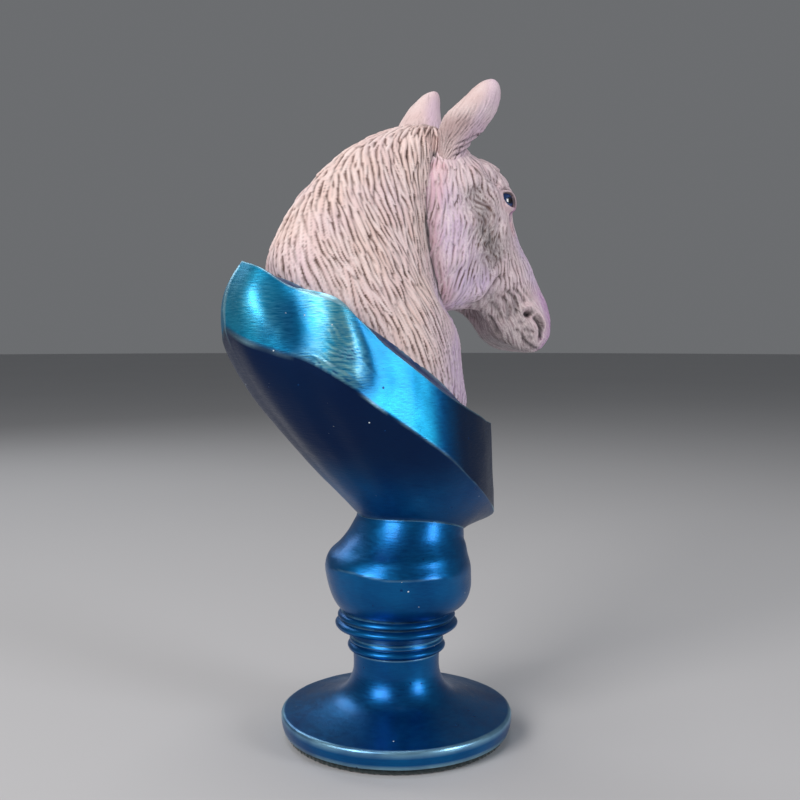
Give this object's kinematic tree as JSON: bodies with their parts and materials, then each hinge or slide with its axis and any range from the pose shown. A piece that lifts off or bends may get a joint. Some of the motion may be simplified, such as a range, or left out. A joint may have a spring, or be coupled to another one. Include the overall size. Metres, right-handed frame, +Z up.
{
  "type": "chess knight",
  "caption": "Ornamental chess knight: a horse's head and neck rising from a slanted, lobed bust shell on a turned baluster pedestal with a round foot.",
  "frame": {"origin": "middle of the felt pad's underside, on the surface that the piece stands on", "axes": "+Z up; the horse looks along -Y; its right side is towards -X"},
  "size_m": [0.0712, 0.1104, 0.1998],
  "materials": {
    "horse_paint": "cast resin painted pale pinkish lilac, with grey-brown washes in the hair grooves and a mauve nose",
    "blue_paint": "cast resin with satin metallic blue lacquer, brushed along the band, small casting pits",
    "eye_gloss": "dark navy gloss",
    "steel": "plain bright steel",
    "felt": "dark felt"
  },
  "bodies": {
    "root": {"felt_pad": "felt", "foot_and_stem": "blue_paint", "ballast_ring": "steel", "base_nut": "steel", "base_washer": "steel", "tie_rod": "steel", "lower_collar": "blue_paint", "main_collar": "blue_paint", "upper_collar": "blue_paint", "baluster_bulb": "blue_paint", "bust_shell": "blue_paint", "top_washer": "steel", "top_nut": "steel", "neck_dowel_rear": "steel", "neck_dowel_front": "steel", "neck_casting": "horse_paint", "head_dowel": "steel", "head_casting": "horse_paint", "right_ear": "horse_paint", "left_ear": "horse_paint", "right_eye": "eye_gloss", "left_eye": "eye_gloss"}
  },
  "joints": []
}
